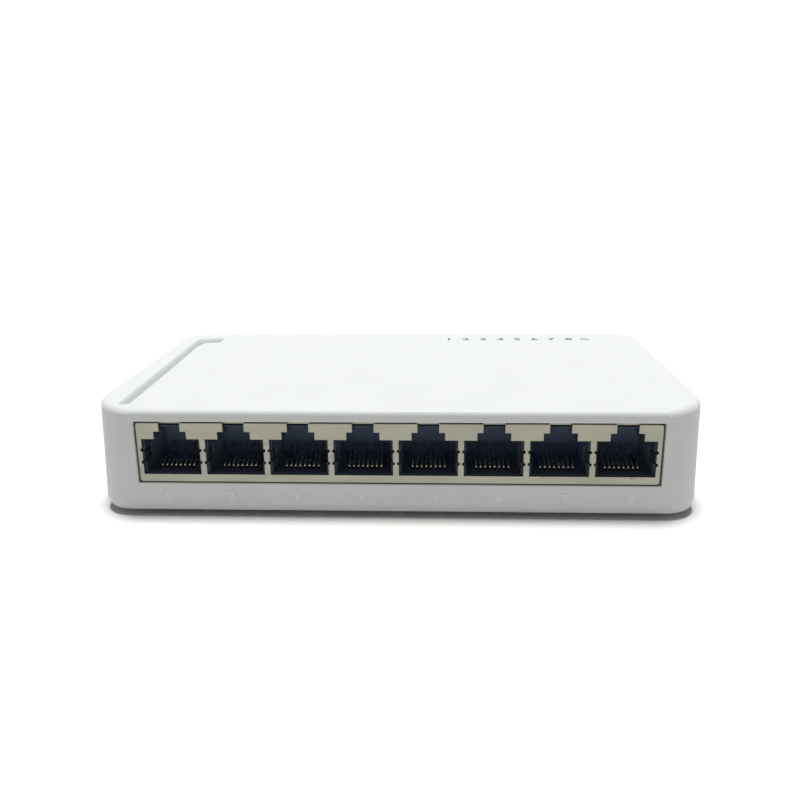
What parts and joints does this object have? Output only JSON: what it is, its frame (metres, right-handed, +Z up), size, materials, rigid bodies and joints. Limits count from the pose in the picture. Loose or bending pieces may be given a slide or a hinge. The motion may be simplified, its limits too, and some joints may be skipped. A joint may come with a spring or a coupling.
{
  "type": "desktop network switch",
  "caption": "Low white desktop network switch: rounded shell, a row of stepped network sockets behind a dull metal plate, hooked groove on top, barrel power inlet and light windows behind.",
  "frame": {"origin": "on the table, under the middle of the body", "axes": "+X to the right along the row of sockets, +Y from the socket side to the indicator side, +Z up"},
  "size_m": [0.1348, 0.08, 0.0245],
  "materials": {
    "shell_plastic": "satin moulded white, fine texture",
    "cover_plastic": "satin moulded white, a shade darker than the shell",
    "shield_metal": "dull nickel plate on thin sheet, slightly stained",
    "socket_plastic": "satin near-black",
    "contact_gold": "gold plated, bright",
    "board_laminate": "green solder mask, satin",
    "chip_epoxy": "matt black moulding",
    "tin_plate": "tin plated, satin",
    "capacitor_can": "bright drawn can",
    "inductor_ferrite": "matt sintered ferrite",
    "light_guide": "clear acrylic",
    "led_body": "milky resin",
    "screw_steel": "zinc plated",
    "foot_rubber": "matt black",
    "label_ink": "grey pad printing on the top, for the looks only"
  },
  "bodies": {
    "root": {"top_shell": "shell_plastic", "bottom_cover": "cover_plastic", "case_screw_1": "screw_steel", "case_screw_2": "screw_steel", "case_screw_3": "screw_steel", "case_screw_4": "screw_steel", "board_screw_1": "screw_steel", "board_screw_2": "screw_steel", "rubber_foot_1": "foot_rubber", "rubber_foot_2": "foot_rubber", "rubber_foot_3": "foot_rubber", "rubber_foot_4": "foot_rubber", "port_shield": "shield_metal", "port_housing_1": "socket_plastic", "port_housing_2": "socket_plastic", "port_housing_3": "socket_plastic", "port_housing_4": "socket_plastic", "port_housing_5": "socket_plastic", "port_housing_6": "socket_plastic", "port_housing_7": "socket_plastic", "port_housing_8": "socket_plastic", "port_contacts_1": "contact_gold", "port_contacts_2": "contact_gold", "port_contacts_3": "contact_gold", "port_contacts_4": "contact_gold", "port_contacts_5": "contact_gold", "port_contacts_6": "contact_gold", "port_contacts_7": "contact_gold", "port_contacts_8": "contact_gold", "main_board": "board_laminate", "switch_chip": "chip_epoxy", "settings_memory": "chip_epoxy", "voltage_regulator": "chip_epoxy", "transformer_module_1": "chip_epoxy", "transformer_module_2": "chip_epoxy", "transformer_module_3": "chip_epoxy", "transformer_module_4": "chip_epoxy", "input_capacitor": "capacitor_can", "output_capacitor": "capacitor_can", "power_inductor": "inductor_ferrite", "clock_crystal": "tin_plate", "port_led_1": "led_body", "port_led_2": "led_body", "port_led_3": "led_body", "port_led_4": "led_body", "port_led_5": "led_body", "port_led_6": "led_body", "port_led_7": "led_body", "port_led_8": "led_body", "power_led": "led_body", "light_guide": "light_guide", "power_inlet_housing": "socket_plastic", "power_inlet_pin": "tin_plate", "power_inlet_spring": "tin_plate"}
  },
  "joints": []
}
